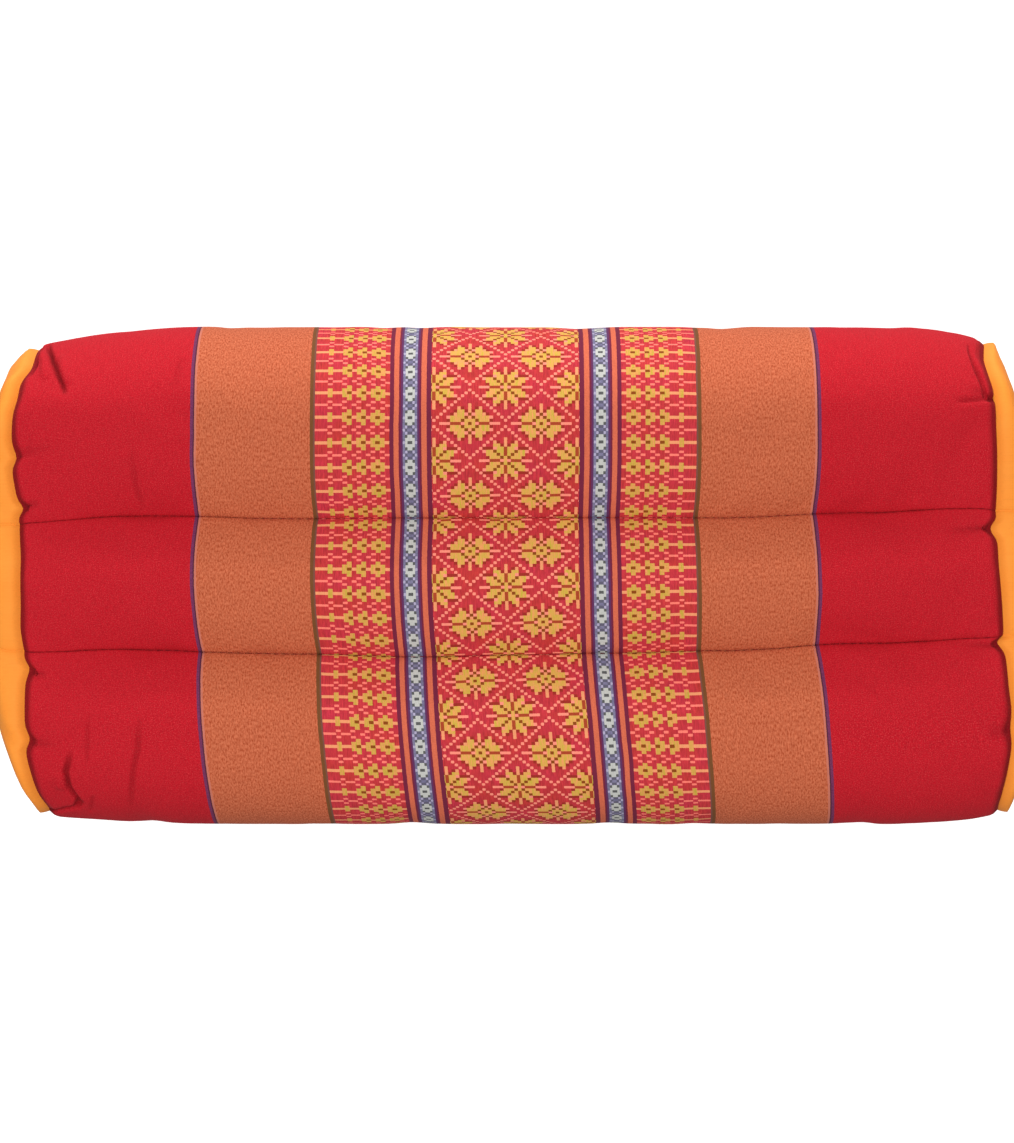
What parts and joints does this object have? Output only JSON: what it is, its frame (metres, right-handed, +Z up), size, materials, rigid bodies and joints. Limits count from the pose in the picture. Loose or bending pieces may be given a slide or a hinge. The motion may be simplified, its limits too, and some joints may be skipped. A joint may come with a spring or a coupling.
{
  "type": "zafu cushion",
  "caption": "Long rectangular block cushion of woven patterned cloth, sewn into crowned channels, with plain domed end panels, lying on its broad face.",
  "frame": {"origin": "on the floor, under the middle of the cushion's box", "axes": "+X along the length, +Y across the broad face, +Z up through the thickness"},
  "size_m": [0.3903, 0.1824, 0.12],
  "materials": {
    "patterned_cloth": "matt hand-woven cotton with bands of small motifs",
    "end_cloth": "plain weave cotton with a slight sheen"
  },
  "bodies": {
    "root": {"cushion_body": "patterned_cloth", "end_panel_left": "end_cloth", "end_panel_right": "end_cloth"}
  },
  "joints": []
}
